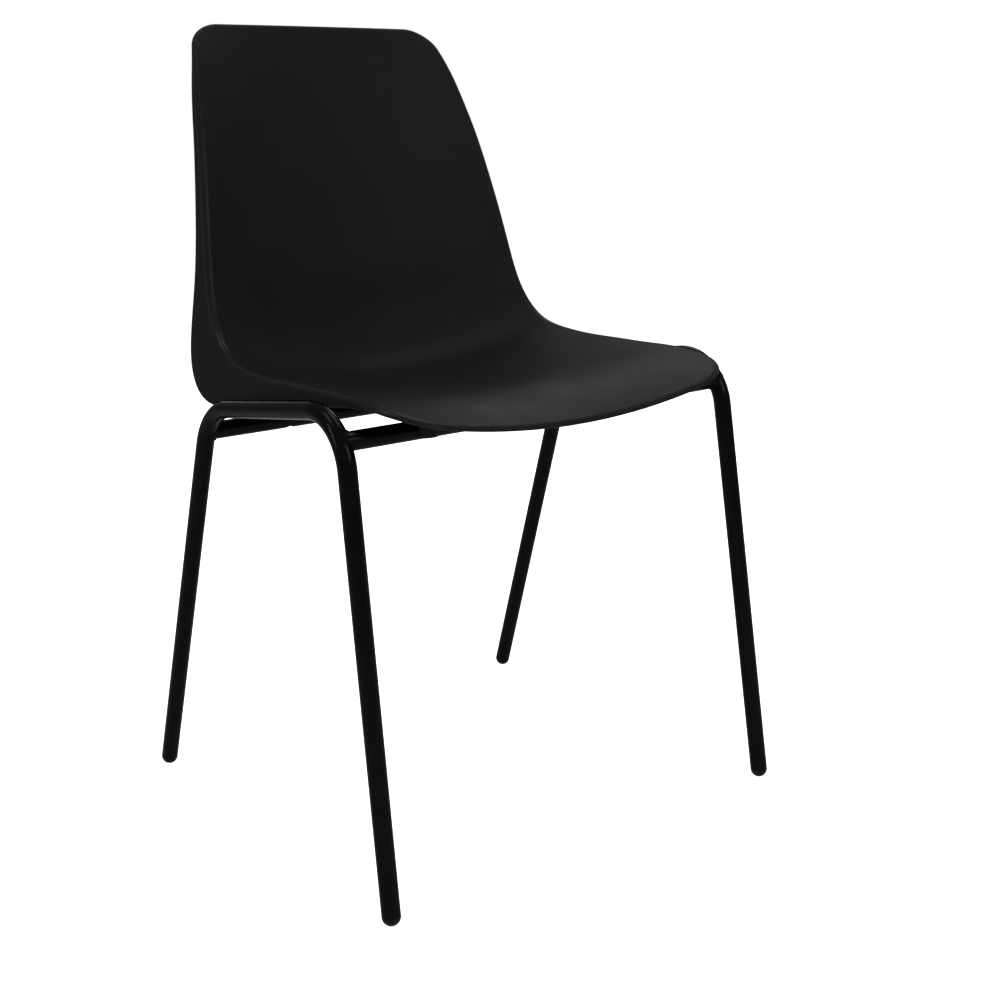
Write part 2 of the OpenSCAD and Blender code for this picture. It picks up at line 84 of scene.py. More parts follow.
# Rim of a glide: how much narrower than the tube each line is, and how far above the tube's end
GLIDE_RIM = ((0.5, 0.2), (0.12, 0.05), (0.0, -0.25))

# Stations of the shell from the lip to the top, as shares of its sizes: depth and rise of the edge
# line, depth and rise of the centre line, half width, and how deep the edge turns down
STATION_SHARES = np.array([
    [0.012, -0.036, 0.010, -0.107, 0.988, 0.040],
    [0.100, -0.011, 0.090, -0.065, 0.996, 0.085],
    [0.196, 0.004, 0.189, -0.044, 1.000, 0.215],
    [0.297, 0.000, 0.294, -0.052, 1.000, 0.285],
    [0.395, 0.002, 0.397, -0.066, 1.005, 0.350],
    [0.496, -0.001, 0.501, -0.082, 1.017, 0.400],
    [0.593, 0.007, 0.606, -0.096, 1.014, 0.460],
    [0.699, 0.028, 0.748, -0.110, 0.998, 1.055],
    [0.768, 0.132, 0.830, 0.035, 0.976, 0.560],
    [0.793, 0.263, 0.848, 0.219, 0.953, 0.328],
    [0.814, 0.391, 0.880, 0.359, 0.922, 0.245],
    [0.838, 0.519, 0.901, 0.497, 0.888, 0.215],
    [0.866, 0.646, 0.924, 0.626, 0.857, 0.160],
    [0.903, 0.768, 0.947, 0.758, 0.825, 0.095],
    [0.943, 0.889, 0.977, 0.878, 0.786, 0.020],
    [0.990, 0.988, 0.998, 0.988, 0.735, 0.012]])


# ---------------------------------------------------------------- small helpers

def unit(v):
    """Vectors turned to length 1, along the last axis."""
    v = np.asarray(v, float)
    return v / np.linalg.norm(v, axis=-1, keepdims=True)


def linear(hex_colour):
    """sRGB hex to a linear colour with alpha."""
    parts = [int(hex_colour[i:i + 2], 16) / 255 for i in (1, 3, 5)]
    return [c / 12.92 if c <= 0.04045 else ((c + 0.055) / 1.055) ** 2.4 for c in parts] + [1.0]


def new_mesh(name, points, faces, smooth=True):
    """Object at the origin from points in millimetres."""
    mesh = bpy.data.meshes.new(name)
    mesh.from_pydata([tuple(MM * float(c) for c in p) for p in points], [], [tuple(f) for f in faces])
    mesh.validate()
    if smooth:
        mesh.shade_smooth()
    piece = bpy.data.objects.new(name, mesh)
    bpy.context.collection.objects.link(piece)
    return piece


def outward(piece):
    """Merges doubles and turns every face of a closed piece outwards."""
    bm = bmesh.new()
    bm.from_mesh(piece.data)
    bmesh.ops.remove_doubles(bm, verts=bm.verts, dist=1e-6)
    bmesh.ops.recalc_face_normals(bm, faces=bm.faces)
    bm.to_mesh(piece.data)
    bm.free()
    piece.data.update()
    return piece


def node(tree, kind, values=None, links=None, **settings):
    """Adds a node with its settings, its socket values and the links into it."""
    made = tree.nodes.new(kind)
    for key, value in settings.items():
        setattr(made, key, value)
    for key, value in (values or {}).items():
        made.inputs[key].default_value = value
    for key, (source, output) in (links or {}).items():
        tree.links.new(source.outputs[output], made.inputs[key])
    return made


def dress(piece, material):
    """Gives a piece or a carried-over node one material."""
    if piece.data.materials:
        for i in range(len(piece.data.materials)):
            piece.data.materials[i] = material
    else:
        piece.data.materials.append(material)


# ---------------------------------------------------------------- finishes

def new_finish(name):
    """Empty material and its node tree."""
    material = bpy.data.materials.new(name)
    material.use_nodes = True
    tree = material.node_tree
    tree.nodes.clear()
    return material, tree


def grain_mm(size):
    """Noise scale that gives grains of a size in millimetres."""
    return 1 / (size * MM)


# Gloss seen head on, how fast it fades, and the rubbed edge's roughness and added gloss
SHELL_GLOSS, TUBE_GLOSS, GLIDE_GLOSS = 0.031, 0.029, 0.05
GLOSS_FADE = 1.5
EDGE_ROUGHNESS, EDGE_SHINE = 0.28, 0.8


def fading_gloss(tree, head_on):
    """Gloss that fades at low angles, where a fine texture hides its own highlights. The socket it
    goes into keeps a plain share of it, for a model that drops the link."""
    angle = node(tree, "ShaderNodeLayerWeight", {"Blend": 0.5})
    facing = node(tree, "ShaderNodeMath", {0: 1.0}, {1: (angle, "Facing")}, operation="SUBTRACT")
    faded = node(tree, "ShaderNodeMath", {1: GLOSS_FADE}, {0: (facing, "Value")},
                 operation="POWER")
    return node(tree, "ShaderNodeMath", {1: head_on}, {0: (faded, "Value")}, operation="MULTIPLY")


def spark_eroded_polypropylene():
    """Polypropylene moulded against a spark-eroded steel tool. The eye gets a soft satin black with a
    fine even grain, slow shifts of gloss where the melt flowed, and faint rub marks from stacking."""
    material, tree = new_finish("spark_eroded_polypropylene")
    where = node(tree, "ShaderNodeTexCoord")
    # Real grain is about 0.15 mm, too fine to show here, so it is drawn at 0.9 mm
    grain = node(tree, "ShaderNodeTexNoise", {"Scale": grain_mm(0.9), "Detail": 3.0, "Roughness": 0.6},
                 {"Vector": (where, "Object")})
    # Flow of the melt from the gate, about 70 mm from patch to patch
    flow = node(tree, "ShaderNodeTexNoise", {"Scale": grain_mm(70), "Detail": 2.0, "Distortion": 0.4},
                {"Vector": (where, "Object")})
    # Rub marks: short streaks about 2 mm wide that run down the shell
    stretch = node(tree, "ShaderNodeMapping", {"Scale": (1.0, 0.35, 0.2)}, {"Vector": (where, "Object")})
    rubs = node(tree, "ShaderNodeTexNoise", {"Scale": grain_mm(2.0), "Detail": 4.0, "Roughness": 0.75},
                {"Vector": (stretch, "Vector")})
    rub_share = node(tree, "ShaderNodeMapRange", {"From Min": 0.62, "From Max": 0.80, "To Min": 0.0,
                     "To Max": 1.0}, {"Value": (rubs, "Fac")})
    tone = node(tree, "ShaderNodeMix", {"A": linear("#0e0e0f"), "B": linear("#131314")},
                {"Factor": (flow, "Fac")}, data_type="RGBA")
    rubbed = node(tree, "ShaderNodeMix", {"B": linear("#1c1c1e")},
                  {"Factor": (rub_share, "Result"), "A": (tone, "Result")}, data_type="RGBA")
    roughness = node(tree, "ShaderNodeMapRange", {"From Min": 0.3, "From Max": 0.7, "To Min": 0.46,
                     "To Max": 0.54}, {"Value": (flow, "Fac")})
    # The rolled edge is rubbed smoother than the rest
    polish = node(tree, "ShaderNodeAttribute", attribute_name="edge_polish")
    rubbed_roughness = node(tree, "ShaderNodeMix", {"B": EDGE_ROUGHNESS},
                            {"Factor": (polish, "Fac"), "A": (roughness, "Result")},
                            data_type="FLOAT")
    shine = node(tree, "ShaderNodeMath", {1: EDGE_SHINE, 2: 1.0}, {0: (polish, "Fac")},
                 operation="MULTIPLY_ADD")
    level = node(tree, "ShaderNodeMath", links={0: (fading_gloss(tree, SHELL_GLOSS), "Value"),
                 1: (shine, "Value")}, operation="MULTIPLY")
    bump = node(tree, "ShaderNodeBump", {"Strength": 0.12, "Distance": 0.12 * MM},
                {"Height": (grain, "Fac")})
    shader = node(tree, "ShaderNodeBsdfPrincipled", {"IOR": 1.49, "Specular IOR Level": SHELL_GLOSS / 2},
                  {"Base Color": (rubbed, "Result"), "Roughness": (rubbed_roughness, "Result"),
                   "Specular IOR Level": (level, "Value"), "Normal": (bump, "Normal")})
    node(tree, "ShaderNodeOutputMaterial", links={"Surface": (shader, "BSDF")})
    return material


def powder_coat(name, roughness_low, roughness_high):
    """Black polyester powder baked on steel. The eye gets a semi-gloss black whose highlights waver
    with the slight orange peel of the melted powder, and a few dull dust nibs."""
    material, tree = new_finish(name)
    where = node(tree, "ShaderNodeTexCoord")
    # Orange peel is about 1.6 mm from crest to crest
    peel = node(tree, "ShaderNodeTexNoise", {"Scale": grain_mm(1.6), "Detail": 1.5, "Roughness": 0.4},
                {"Vector": (where, "Object")})
    # Film that is a little thicker or thinner every 25 mm or so
    film = node(tree, "ShaderNodeTexNoise", {"Scale": grain_mm(25), "Detail": 2.0},
                {"Vector": (where, "Object")})
    # Dust nibs about 0.5 mm across, some 6 mm apart
    nibs = node(tree, "ShaderNodeTexVoronoi", {"Scale": grain_mm(6)}, {"Vector": (where, "Object")},
                feature="F1")
    nib_share = node(tree, "ShaderNodeMapRange", {"From Min": 0.0, "From Max": 0.07, "To Min": 1.0,
                     "To Max": 0.0}, {"Value": (nibs, "Distance")})
    tone = node(tree, "ShaderNodeMix", {"A": linear("#030304"), "B": linear("#060607")},
                {"Factor": (film, "Fac")}, data_type="RGBA")
    dusty = node(tree, "ShaderNodeMix", {"B": linear("#0e0e0f")},
                 {"Factor": (nib_share, "Result"), "A": (tone, "Result")}, data_type="RGBA")
    roughness = node(tree, "ShaderNodeMapRange", {"From Min": 0.3, "From Max": 0.7,
                     "To Min": roughness_low, "To Max": roughness_high}, {"Value": (film, "Fac")})
    bump = node(tree, "ShaderNodeBump", {"Strength": 0.06, "Distance": 0.10 * MM},
                {"Height": (peel, "Fac")})
    shader = node(tree, "ShaderNodeBsdfPrincipled", {"IOR": 1.5, "Specular IOR Level": TUBE_GLOSS / 2},
                  {"Base Color": (dusty, "Result"), "Roughness": (roughness, "Result"),
                   "Specular IOR Level": (fading_gloss(tree, TUBE_GLOSS), "Value"),
                   "Normal": (bump, "Normal")})
    node(tree, "ShaderNodeOutputMaterial", links={"Surface": (shader, "BSDF")})
    return material


def worn_nylon():
    """Black nylon 6 moulded smooth, then dragged over floors. The eye gets a dull black dome that
    turns grey and scratched in its lowest millimetres."""
    material, tree = new_finish("worn_nylon")
    where = node(tree, "ShaderNodeTexCoord")
    height = node(tree, "ShaderNodeSeparateXYZ", links={"Vector": (where, "Object")})
    # Wear fades out 4 mm above the floor
    low = node(tree, "ShaderNodeMapRange", {"From Min": 0.0, "From Max": 4 * MM, "To Min": 1.0,
               "To Max": 0.0}, {"Value": (height, "Z")})
    # Scratches about 0.4 mm apart
    stretch = node(tree, "ShaderNodeMapping", {"Scale": (1.0, 0.15, 1.0), "Rotation": (0.0, 0.0, 0.5)},
                   {"Vector": (where, "Object")})
    scratches = node(tree, "ShaderNodeTexNoise", {"Scale": grain_mm(0.4), "Detail": 3.0,
                     "Roughness": 0.7}, {"Vector": (stretch, "Vector")})
    scratch_share = node(tree, "ShaderNodeMapRange", {"From Min": 0.45, "From Max": 0.70},
                         {"Value": (scratches, "Fac")})
    wear = node(tree, "ShaderNodeMath", links={0: (low, "Result"), 1: (scratch_share, "Result")},
                operation="MULTIPLY")
    tone = node(tree, "ShaderNodeMix", {"A": linear("#0b0b0c"), "B": linear("#3a3a3b")},
                {"Factor": (wear, "Value")}, data_type="RGBA")
    roughness = node(tree, "ShaderNodeMapRange", {"To Min": 0.42, "To Max": 0.75},
                     {"Value": (wear, "Value")})
    bump = node(tree, "ShaderNodeBump", {"Strength": 0.25, "Distance": 0.08 * MM},
                {"Height": (scratches, "Fac")})
    shader = node(tree, "ShaderNodeBsdfPrincipled", {"IOR": 1.53, "Specular IOR Level": GLIDE_GLOSS / 2},
                  {"Base Color": (tone, "Result"), "Roughness": (roughness, "Result"),
                   "Specular IOR Level": (fading_gloss(tree, GLIDE_GLOSS), "Value"),
                   "Normal": (bump, "Normal")})
    node(tree, "ShaderNodeOutputMaterial", links={"Surface": (shader, "BSDF")})
    return material


def bright_zinc(name, tint):
    """Steel with bright zinc plating and a clear passivate. The eye gets a pale blue-grey metal with
    soft cloudy patches and fine marks from tumbling in the plating barrel."""
    material, tree = new_finish(name)
    where = node(tree, "ShaderNodeTexCoord")
    # Clouding in the plate, about 3 mm across, and barrel marks about 0.3 mm apart
    cloud = node(tree, "ShaderNodeTexNoise", {"Scale": grain_mm(3), "Detail": 3.0},
                 {"Vector": (where, "Object")})
    marks = node(tree, "ShaderNodeTexNoise", {"Scale": grain_mm(0.3), "Detail": 2.0},
                 {"Vector": (where, "Object")})
    tone = node(tree, "ShaderNodeMix", {"A": linear(tint), "B": linear("#b9bcc2")},
                {"Factor": (cloud, "Fac")}, data_type="RGBA")
    roughness = node(tree, "ShaderNodeMapRange", {"From Min": 0.3, "From Max": 0.7, "To Min": 0.24,
                     "To Max": 0.42}, {"Value": (cloud, "Fac")})
    bump = node(tree, "ShaderNodeBump", {"Strength": 0.12, "Distance": 0.04 * MM},
                {"Height": (marks, "Fac")})
    shader = node(tree, "ShaderNodeBsdfPrincipled", {"Metallic": 1.0},
                  {"Base Color": (tone, "Result"), "Roughness": (roughness, "Result"),
                   "Normal": (bump, "Normal")})
    node(tree, "ShaderNodeOutputMaterial", links={"Surface": (shader, "BSDF")})
    return material


shell_finish = spark_eroded_polypropylene()
tube_finish = powder_coat("black_powder_coat", 0.15, 0.20)
weld_finish = powder_coat("powder_coat_over_weld", 0.24, 0.34)
glide_finish = worn_nylon()
screw_finish = bright_zinc("bright_zinc_screw", "#9a9da4")
washer_finish = bright_zinc("bright_zinc_washer", "#a5a8ae")


# ---------------------------------------------------------------- the seat shell

def column(c, u):
    """One column of the stations at share u, on a uniform cubic spline reflected at both ends."""
    table = STATION_SHARES[:, c]
    table = np.concatenate([[2 * table[0] - table[1]], table, [2 * table[-1] - table[-2]]])
    v = np.asarray(u, float) * (len(STATION_SHARES) - 1)
    i = np.minimum(np.floor(v).astype(int), len(STATION_SHARES) - 2)
    f = v - i
    return ((1 - f) ** 3 * table[i] + (3 * f ** 3 - 6 * f ** 2 + 4) * table[i + 1]
            + (-3 * f ** 3 + 3 * f ** 2 + 3 * f + 1) * table[i + 2] + f ** 3 * table[i + 3]) / 6


BACK_RISE = OVERALL_H - SEAT_EDGE_H
HALF_W = SHELL_W / 2 - EDGE_ROLL_R * math.sin(CREST_TURN)


def edge_line(u):
    """Depth and height of the shell's edge at share u of its run from the lip to the top."""
    return SHELL_DEPTH * column(0, u) - LIP_Y, BACK_RISE * column(1, u) + SEAT_EDGE_H


def centre_line(u):
    """Depth and height of the shell's middle at share u."""
    return SHELL_DEPTH * column(2, u) - LIP_Y, BACK_RISE * column(3, u) + SEAT_EDGE_H


def sheet(x, u):
    """Points of the sheet: every cross section is a parabola from the centre line to the edge line."""
    k = (x / (HALF_W * column(4, u))) ** 2
    (ey, ez), (cy, cz) = edge_line(u), centre_line(u)
    return np.stack([x, cy + (ey - cy) * k, cz + (ez - cz) * k], -1)


def sheet_normal(x, u):
    """Unit normals of the sheet, towards the sitter."""
    across = sheet(x + 1, u) - sheet(x - 1, u)
    along = sheet(x, np.minimum(u + 0.002, 1)) - sheet(x, np.maximum(u - 0.002, 0))
    return unit(np.cross(across, along))


def drawn_in(r, d):
    """How far a corner of radius r draws the outline in, at distance d from the end."""
    return np.where(d >= r, 0, r - np.sqrt(np.maximum(r ** 2 - (r - np.minimum(d, r)) ** 2, 0)))


edge_y, edge_z = edge_line(np.linspace(0, 1, 41))
EDGE_RUN = float(np.hypot(np.diff(edge_y), np.diff(edge_z)).sum())


def outline_x(u):
    """Half width of the sheet at share u, with the corners of the lip and the top rounded."""
    return HALF_W * column(4, u) - drawn_in(LIP_CORNER_R, u * EDGE_RUN) \
        - drawn_in(TOP_CORNER_R, (1 - u) * EDGE_RUN)


def moulded_shell():
    """The one-piece moulding: a smooth sheet whose edge rolls over into a skirt with a rounded rim."""
    corner_rows, side_rows, cells, roll_rings, land_rings = 14, 116, 64, 12, 3
    # Share by which rows stand closer half way along, where the seat turns up into the back
    crowding = 0.4
    lip_share, top_share = LIP_CORNER_R / EDGE_RUN, TOP_CORNER_R / EDGE_RUN
    ease = 1 - np.cos(np.pi / 2 * np.arange(corner_rows) / corner_rows)
    t = np.arange(side_rows + 1) / side_rows
    middle = lip_share + (1 - lip_share - top_share) \
        * (t + crowding * np.sin(2 * np.pi * t) / (2 * np.pi))
    u_rows = np.concatenate([lip_share * ease, middle, 1 - top_share * ease[::-1]])
    rows = len(u_rows)
    uu = np.repeat(u_rows[:, None], cells + 1, 1)
    xx = outline_x(uu) * (2 * np.arange(cells + 1) / cells - 1)[None, :]
    top, normal = sheet(xx, uu), sheet_normal(xx, uu)
    # Grid places round the outline, anticlockwise from the front right corner
    places = [(0, i) for i in range(cells + 1)] + [(j, cells) for j in range(1, rows)] \
        + [(rows - 1, i) for i in range(cells - 1, -1, -1)] + [(j, 0) for j in range(rows - 2, 0, -1)]
    pj, pi = np.array(places).T
    edge, edge_n, edge_u = top[pj, pi], normal[pj, pi], uu[pj, pi]
    tangent = unit(np.roll(edge, -1, 0) - np.roll(edge, 1, 0))
    out = np.cross(tangent, edge_n)
    depth = SKIRT_DEPTH * column(5, edge_u)
    roll_full = EDGE_ROLL_R * (1 - math.cos(EDGE_ROLL_TURN))
    last_turn = np.where(depth > roll_full, EDGE_ROLL_TURN,
                         np.arccos(np.clip(1 - depth / EDGE_ROLL_R, -1, 1)))
    land = EDGE_LAND + np.maximum(depth - roll_full, 0) / math.sin(EDGE_ROLL_TURN)

    def ring(k, sunk, back=0.0):
        turn = (last_turn * min(k / roll_rings, 1))[:, None]
        run = ((land - RIM_R) * max(k - roll_rings, 0) / land_rings)[:, None] + back
        ahead = np.cos(turn) * out - np.sin(turn) * edge_n
        over = np.sin(turn) * out + np.cos(turn) * edge_n
        return edge + EDGE_ROLL_R * (np.sin(turn) * out - (1 - np.cos(turn)) * edge_n) \
            + run * ahead - sunk * over

    rings = roll_rings + land_rings
    outer = [top.reshape(-1, 3)] + [ring(k, 0) for k in range(1, rings + 1)]
    inner = [(top - SHELL_T * normal).reshape(-1, 3)] + [ring(k, SHELL_T) for k in range(1, rings + 1)]
    # Rounded rim between the two skins, in lines at these depths under the nearer skin
    depths = (0.08, 0.25, 0.55, 1.5)
    rim = []
    for sunk in [*depths, SHELL_T / 2, *(SHELL_T - d for d in depths[::-1])]:
        side = min(sunk, SHELL_T - sunk)
        rise = RIM_R * math.sqrt(1 - (1 - min(side / RIM_R, 1)) ** 2)
        rim.append(ring(rings, sunk, rise))
    points = np.vstack(outer + rim + inner)
    grid_count, loop = rows * (cells + 1), len(places)
    at = pj * (cells + 1) + pi
    outer_rings = [at] + [grid_count + k * loop + np.arange(loop) for k in range(rings)]
    rim_start = grid_count + rings * loop
    rim_rings = [rim_start + k * loop + np.arange(loop) for k in range(len(rim))]
    inner_start = rim_start + len(rim) * loop
    inner_rings = [inner_start + at] + [inner_start + grid_count + k * loop + np.arange(loop)
                                        for k in range(rings)]
    j, i = np.meshgrid(np.arange(rows - 1), np.arange(cells), indexing="ij")
    a = (j * (cells + 1) + i).ravel()
    faces = [np.stack([a, a + 1, a + cells + 2, a + cells + 1], 1),
             np.stack([a, a + cells + 1, a + cells + 2, a + 1], 1) + inner_start]
    chain = outer_rings + rim_rings + inner_rings[::-1]
    for here, after in zip(chain, chain[1:]):
        faces.append(np.stack([here, after, np.roll(after, -1), np.roll(here, -1)], 1))
    # Hands and stacked chairs polish the roll, most of all half way over it
    polish = np.zeros(len(points))
    for k in range(1, roll_rings + 1):
        start = grid_count + (k - 1) * loop
        polish[start:start + loop] = np.sin(2 * np.minimum(last_turn * k / roll_rings, math.pi / 2)) ** 2
    return new_mesh("moulded_shell", points, np.vstack(faces)), polish


def under_height(x, y):
    """Height of the shell's underside over a point under the seat."""
    # The whole seat lies before the second of these shares of the stations
    low, high = 0.0, 0.6
    for _ in range(24):
        u = (low + high) / 2
        if sheet(np.array(x), np.array(u))[1] < y:
            low = u
        else:
            high = u
    return float((sheet(np.array(x), np.array(u)) - SHELL_T * sheet_normal(np.array(x), np.array(u)))[2])


# ---------------------------------------------------------------- lines of the tube frame

def frame_corners(side):
    """Foot, front corner, rear corner and foot of a side frame's centre line, before bending."""
    foot_z = TUBE_R - GLIDE_FLAT
    return np.array([[side * FRONT_FOOT_W / 2, -FOOT_D / 2, foot_z],
                     [side * FRONT_CORNER[0], FRONT_CORNER[1], FRONT_CORNER[2]],
                     [side * REAR_CORNER[0], REAR_CORNER[1], REAR_CORNER[2]],
                     [side * REAR_FOOT_W / 2, FOOT_D / 2, foot_z]])


def bent_line(side):
    """Centre line of a side frame with both bends, as closely spaced points."""
    p = frame_corners(side)
    line = [p[0]]
    for i, r in ((1, FRONT_BEND_R), (2, REAR_BEND_R)):
        a, b = unit(p[i] - p[i - 1]), unit(p[i + 1] - p[i])
        turn = math.acos(float(a @ b))
        trim = r * math.tan(turn / 2)
        inward = unit(b - a * float(a @ b))
        start = p[i] - a * trim
        for s in np.linspace(0, turn, BEND_STEPS):
            line.append(start + r * (math.sin(s) * a + (1 - math.cos(s)) * inward))
    line.append(p[3])
    return np.array(line)


def distance_to_line(point, line):
    """Least distance from a point to a line through points."""
    a, b = line[:-1], line[1:]
    ab = b - a
    s = np.clip(((point - a) * ab).sum(1) / (ab * ab).sum(1), 0, 1)
    return float(np.linalg.norm(a + ab * s[:, None] - point, axis=1).min())


def rail_place(end):
    """Depth and height of a cross rail's axis: its height is set, and it meets the tube's line."""
    corner = FRONT_CORNER if end == FRONT else REAR_CORNER
    z = corner[2] - (FRONT_RAIL_DROP if end == FRONT else REAR_RAIL_DROP)
    line = bent_line(LEFT)
    half = len(line) // 2 + 1
    line = line[:half] if end == FRONT else line[half:]
    at = np.where((line[:-1, 2] - z) * (line[1:, 2] - z) <= 0)[0][0]
    a, b = line[at], line[at + 1]
    return float((a + (b - a) * (z - a[2]) / (b[2] - a[2]))[1]), z


RAILS = {end: rail_place(end) for end in (FRONT, REAR)}


# ---------------------------------------------------------------- fixing bosses under the seat

def closed_rings(name, rings):
    """Closed piece through rings of points, one after another, with both ends filled."""
    count, size = len(rings), len(rings[0])
    faces = []
    for k in range(count - 1):
        for i in range(size):
            n = (i + 1) % size
            faces.append((k * size + i, k * size + n, (k + 1) * size + n, (k + 1) * size + i))
    faces.append(tuple(range(size)))
    faces.append(tuple(range((count - 1) * size, count * size))[::-1])
    return outward(new_mesh(name, [point for ring in rings for point in ring], faces))


def moulded_boss(side, end):
    """Round boss with a web along the rail and a small fillet into the shell, saddled on its rail."""
    rail_y, rail_z = RAILS[end]
    r, x0, steps = BOSS_D / 2, side * FIXING_X, 96
    foot = rail_z + (-FRONT_SADDLE_DROP if end == FRONT else REAR_SADDLE_RISE)
    circle = [(math.cos(a), math.sin(a)) for a in np.linspace(0, 2 * math.pi, steps, endpoint=False)]
    rings = []
    for out, below in BOSS_FILLET:
        around = [(x0 + (r + out) * c, rail_y + (r + out) * s) for c, s in circle]
        rings.append([(x, y, under_height(x, y) - below) for x, y in around])
    for inset, height in ((0.0, foot + BOSS_CHAMFER), (BOSS_CHAMFER, foot)):
        rings.append([(x0 + (r - inset) * c, rail_y + (r - inset) * s, height) for c, s in circle])
    boss = closed_rings("boss", rings)
    # Web: a plate along the rail whose free edges slope out to the shell
    columns, reach = 28, r + WEB_RUN
    flank = [(WEB_T / 2 + out, below) for out, below in WEB_FILLET]
    rings = []
    for i in range(columns + 1):
        x = x0 - reach + 2 * reach * i / columns
        out, roof = abs(x - x0), under_height(x, rail_y)
        low = rail_z + TUBE_R + max(out - r, 0) * WEB_SLOPE - (WEB_OVERLAP if out < r else 0)
        free_edge = min(low, roof - WEB_LEAST_H)
        rings.append([(x, rail_y - half, roof - below) for half, below in flank]
                     + [(x, rail_y - WEB_T / 2, free_edge), (x, rail_y + WEB_T / 2, free_edge)]
                     + [(x, rail_y + half, roof - below) for half, below in flank[::-1]])
    web = closed_rings("web", rings)
    # Channel that the rail lies in
    saddle_r = TUBE_R + SADDLE_GAP
    profile = [(saddle_r * math.cos(a), saddle_r * math.sin(a)) for a in np.linspace(0, math.pi, 49)]
    profile += [(-saddle_r, -2 * TUBE_R), (saddle_r, -2 * TUBE_R)]
    channel = closed_rings("channel", [[(x, rail_y + y, rail_z + z) for y, z in profile]
                                       for x in (x0 - BOSS_D, x0 + BOSS_D)])
    for cutter, kind in ((web, "UNION"), (channel, "DIFFERENCE")):
        step = boss.modifiers.new(kind.lower(), "BOOLEAN")
        step.operation, step.object, step.solver = kind, cutter, "EXACT"
    solid = without_slivers(applied(boss, "fixing_boss"))
    for cutter in (web, channel):
        bpy.data.objects.remove(cutter)
    return solid


def applied(piece, name):
    """Plain mesh of a piece with its modifiers applied, in a new object; the old one is removed."""
    bpy.context.view_layer.update()
    seen = piece.evaluated_get(bpy.context.evaluated_depsgraph_get())
    mesh = bpy.data.meshes.new_from_object(seen)
    made = bpy.data.objects.new(name, mesh)
    bpy.context.collection.objects.link(made)
    bpy.data.objects.remove(piece)
    return made


def without_slivers(piece, width=0.04):
    """Closes up the sliver faces, narrower than a width in millimetres, that a Boolean step leaves."""
    bm = bmesh.new()
    bm.from_mesh(piece.data)
    bmesh.ops.triangulate(bm, faces=bm.faces)
    bmesh.ops.dissolve_degenerate(bm, dist=width * MM, edges=bm.edges)
    bm.to_mesh(piece.data)
    bm.free()
    piece.data.update()
    return piece


def joined(pieces, name):
    """One object that holds the meshes of several."""
    bm = bmesh.new()
    for piece in pieces:
        bm.from_mesh(piece.data)
    mesh = bpy.data.meshes.new(name)
    bm.to_mesh(mesh)
    bm.free()
    for piece in pieces:
        bpy.data.objects.remove(piece)
    made = bpy.data.objects.new(name, mesh)
    bpy.context.collection.objects.link(made)
    return made


def sharp_creases(piece, degrees):
    """Smooth shading that keeps edges sharper than an angle."""
    piece.data.shade_smooth()
    piece.data.set_sharp_from_angle(angle=math.radians(degrees))


shell, roll_polish = moulded_shell()
bosses = [moulded_boss(side, end) for side in (LEFT, RIGHT) for end in (FRONT, REAR)]
shell = joined([shell] + bosses, "polypropylene_shell")
polish = np.zeros(len(shell.data.vertices), dtype=np.float32)
polish[:len(roll_polish)] = roll_polish
shell.data.attributes.new("edge_polish", "FLOAT", "POINT").data.foreach_set("value", polish)
sharp_creases(shell, degrees=50)
dress(shell, shell_finish)
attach(shell, "root")
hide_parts("seat_shell")


# ---------------------------------------------------------------- geometry node trees

def new_tree(name, sockets):
    """Empty geometry node tree with named inputs, and a map from input name to identifier."""
    tree = bpy.data.node_groups.new(name, "GeometryNodeTree")
    tree.interface.new_socket("Geometry", in_out="INPUT", socket_type="NodeSocketGeometry")
    tree.interface.new_socket("Geometry", in_out="OUTPUT", socket_type="NodeSocketGeometry")
    names = {}
    for label, kind in sockets:
        names[label] = tree.interface.new_socket(label, in_out="INPUT", socket_type=kind).identifier
    return tree, names, tree.nodes.new("NodeGroupInput")


def end_tree(tree, given, last, output):
    """Ends a tree in Realize Instances, smooth shading and Set Material."""
    real = node(tree, "GeometryNodeRealizeInstances", links={"Geometry": (last, output)})
    soft = node(tree, "GeometryNodeSetShadeSmooth", links={"Geometry": (real, "Geometry")})
    painted = node(tree, "GeometryNodeSetMaterial",
                   links={"Geometry": (soft, "Geometry"), "Material": (given, "Finish")})
    node(tree, "NodeGroupOutput", links={"Geometry": (painted, "Geometry")})


def bent_tube_tree():
    """Sweeps a round tube along a line of corners, each bent to its own radius."""
    tree, names, given = new_tree("bent_tube", [
        ("Tube radius", "NodeSocketFloat"), ("Steps round", "NodeSocketInt"),
        ("Steps in a bend", "NodeSocketInt"), ("Finish", "NodeSocketMaterial")])
    line = node(tree, "GeometryNodeMeshToCurve", links={"Mesh": (given, "Geometry")})
    radius = node(tree, "GeometryNodeInputNamedAttribute", {"Name": "bend_radius"}, data_type="FLOAT")
    bent = node(tree, "GeometryNodeFilletCurve", links={
        "Curve": (line, "Curve"), "Radius": (radius, "Attribute"), "Count": (given, "Steps in a bend")},
        mode="POLY")
    ring = node(tree, "GeometryNodeCurvePrimitiveCircle", links={
        "Resolution": (given, "Steps round"), "Radius": (given, "Tube radius")}, mode="RADIUS")
    tube = node(tree, "GeometryNodeCurveToMesh", {"Fill Caps": True},
                {"Curve": (bent, "Curve"), "Profile Curve": (ring, "Curve")})
    end_tree(tree, given, tube, "Mesh")
    return tree, names


